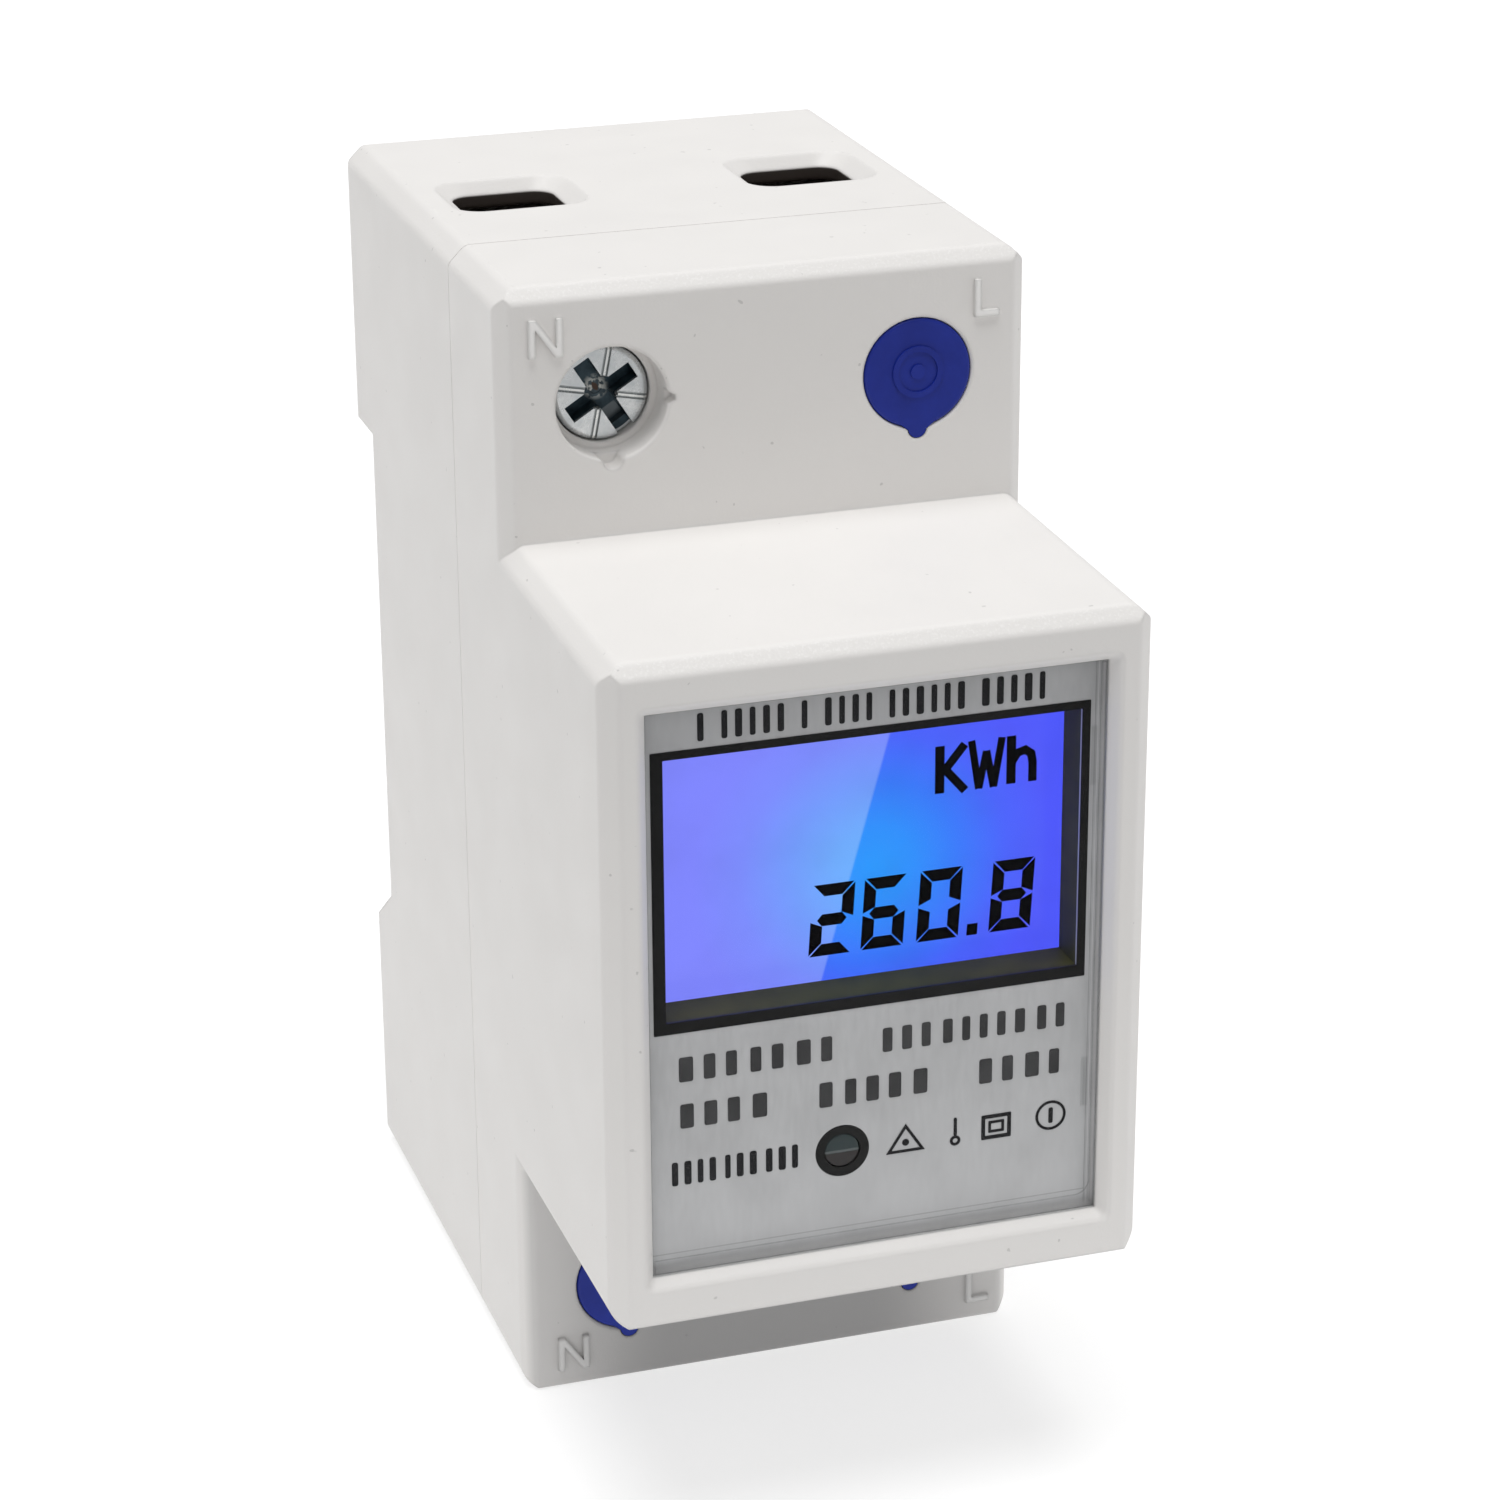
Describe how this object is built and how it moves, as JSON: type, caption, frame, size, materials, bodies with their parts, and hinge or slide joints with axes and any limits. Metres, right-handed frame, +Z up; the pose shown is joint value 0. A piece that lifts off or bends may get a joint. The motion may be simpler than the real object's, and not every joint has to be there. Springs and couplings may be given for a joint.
{
  "type": "din rail electricity meter",
  "caption": "Single-phase electricity meter for a 35 mm rail, with lit display, rising-cage screw terminals, seal caps and a sliding rail clip.",
  "frame": {"origin": "centre of the bottom of the bounding box, on the face it stands on", "axes": "+Z up along the height, +X to the viewer's right when the display is faced, -Y out of the display, +Y towards the rail"},
  "size_m": [0.036, 0.0644, 0.079],
  "materials": {
    "case_plastic": "fine moulded texture",
    "window_clear": "clear, polished",
    "nameplate_film": "satin silver grey",
    "display_frame": "dark satin",
    "lcd": "lit blue display",
    "backlight": "diffuse",
    "pin_metal": "tinned",
    "circuit_board": "solder mask",
    "sleeve_black": "gloss",
    "indicator": "smoked",
    "plated_steel": "zinc plated",
    "chip_black": "moulded",
    "capacitor_sleeve": "shrink sleeve",
    "film_yellow": "gloss",
    "varistor_blue": "dipped",
    "bar_metal": "drawn",
    "shunt_metal": "manganin",
    "lead_insulation": "satin",
    "zinc_screw": "bright zinc plated, blued recess",
    "cage_steel": "zinc plated",
    "cap_blue": "moulded",
    "clip_plastic": "moulded",
    "spring_steel": "drawn wire"
  },
  "bodies": {
    "case": {"front_cover": "case_plastic", "base_case": "case_plastic", "window_lens": "window_clear", "nameplate": "nameplate_film", "display_holder": "display_frame", "lcd_glass": "lcd", "backlight_plate": "backlight", "lcd_pins": "pin_metal", "board_header": "pin_metal", "display_board": "circuit_board", "main_board": "circuit_board", "indicator_sleeve": "sleeve_black", "indicator_led": "indicator", "board_screws": "plated_steel", "metering_chip": "chip_black", "controller_chip": "chip_black", "chip_resistors": "chip_black", "bulk_capacitor": "capacitor_sleeve", "dropper_capacitor": "film_yellow", "varistor": "varistor_blue", "line_bar_in": "bar_metal", "line_bar_out": "bar_metal", "neutral_bar": "bar_metal", "current_shunt": "shunt_metal", "sense_leads": "lead_insulation", "clip_spring": "spring_steel"},
    "screw_top_left": {"terminal_screw_top_left": "zinc_screw"},
    "cage_top_left": {"clamp_cage_top_left": "cage_steel"},
    "screw_top_right": {"terminal_screw_top_right": "zinc_screw"},
    "cage_top_right": {"clamp_cage_top_right": "cage_steel"},
    "screw_bottom_left": {"terminal_screw_bottom_left": "zinc_screw"},
    "cage_bottom_left": {"clamp_cage_bottom_left": "cage_steel"},
    "screw_bottom_right": {"terminal_screw_bottom_right": "zinc_screw"},
    "cage_bottom_right": {"clamp_cage_bottom_right": "cage_steel"},
    "cap_top_right": {"seal_cap_top_right": "cap_blue"},
    "cap_bottom_left": {"seal_cap_bottom_left": "cap_blue"},
    "cap_bottom_right": {"seal_cap_bottom_right": "cap_blue"},
    "rail_clip": {"rail_clip": "clip_plastic"}
  },
  "joints": [
    {"name": "screw_top_left_turn", "type": "hinge", "parent": "case", "child": "screw_top_left", "pos_m": [-0.0104, -0.004, 0.071], "axis": [0, 1, 0], "range_deg": [0, 2882]},
    {"name": "cage_top_left_lift", "type": "slide", "parent": "case", "child": "cage_top_left", "axis": [0, -1, 0], "range_m": [0, 0.0064]},
    {"name": "screw_top_right_turn", "type": "hinge", "parent": "case", "child": "screw_top_right", "pos_m": [0.0104, -0.004, 0.071], "axis": [0, 1, 0], "range_deg": [0, 2882]},
    {"name": "cage_top_right_lift", "type": "slide", "parent": "case", "child": "cage_top_right", "axis": [0, -1, 0], "range_m": [0, 0.0064]},
    {"name": "screw_bottom_left_turn", "type": "hinge", "parent": "case", "child": "screw_bottom_left", "pos_m": [-0.0104, -0.004, 0.0075], "axis": [0, 1, 0], "range_deg": [0, 2882]},
    {"name": "cage_bottom_left_lift", "type": "slide", "parent": "case", "child": "cage_bottom_left", "axis": [0, -1, 0], "range_m": [0, 0.0064]},
    {"name": "screw_bottom_right_turn", "type": "hinge", "parent": "case", "child": "screw_bottom_right", "pos_m": [0.0104, -0.004, 0.0075], "axis": [0, 1, 0], "range_deg": [0, 2882]},
    {"name": "cage_bottom_right_lift", "type": "slide", "parent": "case", "child": "cage_bottom_right", "axis": [0, -1, 0], "range_m": [0, 0.0064]},
    {"name": "cap_top_right_pull", "type": "slide", "parent": "case", "child": "cap_top_right", "axis": [0, -1, 0], "range_m": [0, 0.01]},
    {"name": "cap_bottom_left_pull", "type": "slide", "parent": "case", "child": "cap_bottom_left", "axis": [0, -1, 0], "range_m": [0, 0.01]},
    {"name": "cap_bottom_right_pull", "type": "slide", "parent": "case", "child": "cap_bottom_right", "axis": [0, -1, 0], "range_m": [0, 0.01]},
    {"name": "rail_clip_slide", "type": "slide", "parent": "case", "child": "rail_clip", "axis": [0, 0, -1], "range_m": [0, 0.004], "stiffness_N_per_m": 1500, "springref_m": -0.002, "deforming": ["clip_spring"]}
  ],
  "couplings": [
    {"joint": "screw_top_left_turn", "follows": "cage_top_left_lift", "rad_per_m": 7854},
    {"joint": "screw_top_right_turn", "follows": "cage_top_right_lift", "rad_per_m": 7854},
    {"joint": "screw_bottom_left_turn", "follows": "cage_bottom_left_lift", "rad_per_m": 7854},
    {"joint": "screw_bottom_right_turn", "follows": "cage_bottom_right_lift", "rad_per_m": 7854}
  ]
}
